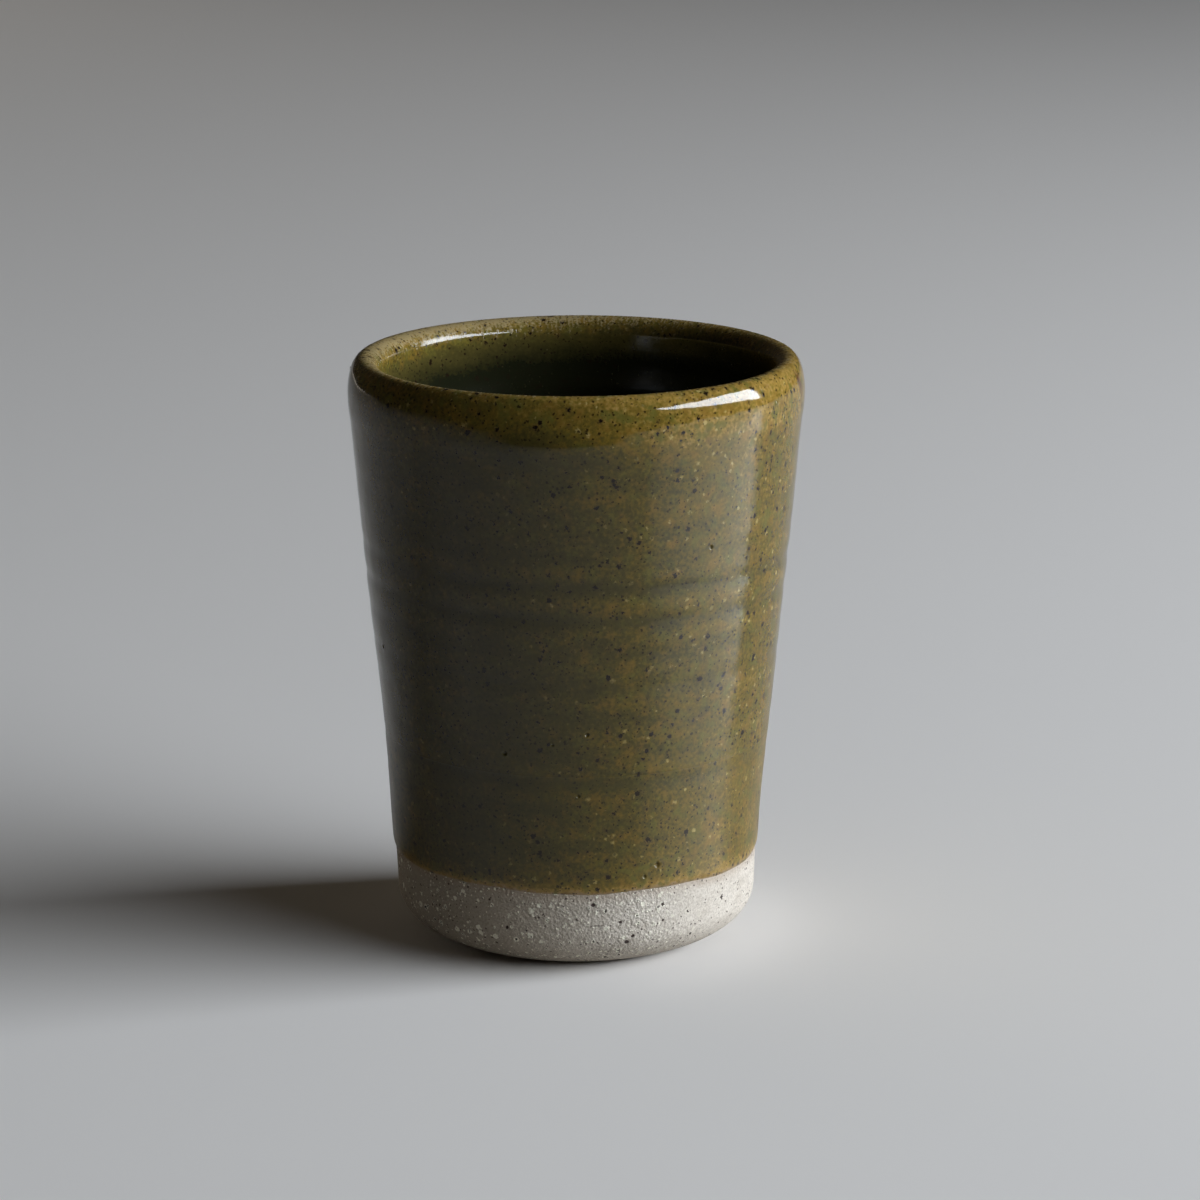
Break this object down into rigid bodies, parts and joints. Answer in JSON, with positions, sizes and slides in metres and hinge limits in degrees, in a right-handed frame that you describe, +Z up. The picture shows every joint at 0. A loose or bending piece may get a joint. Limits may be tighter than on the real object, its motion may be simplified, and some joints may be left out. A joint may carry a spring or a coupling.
{
  "type": "beer cup",
  "caption": "Flared stoneware beaker without a handle, glossy olive glaze inside and out, thick rounded lip and a bare speckled clay foot, for drinking beer.",
  "frame": {"origin": "centre of the ring that the cup stands on, at table height", "axes": "+Z up along the cup's axis, +Y away from the picture's camera, +X to its right"},
  "size_m": [0.0846, 0.0846, 0.11],
  "materials": {
    "bare_clay": "matte speckled stoneware",
    "outer_glaze": "gloss olive glaze with iron specks",
    "lip_glaze": "gloss amber-olive glaze with iron specks",
    "liner_glaze": "gloss olive glaze with iron specks"
  },
  "bodies": {
    "root": {"clay_body": "bare_clay", "outer_glaze": "outer_glaze", "lip_glaze": "lip_glaze", "liner_glaze": "liner_glaze"}
  },
  "joints": []
}
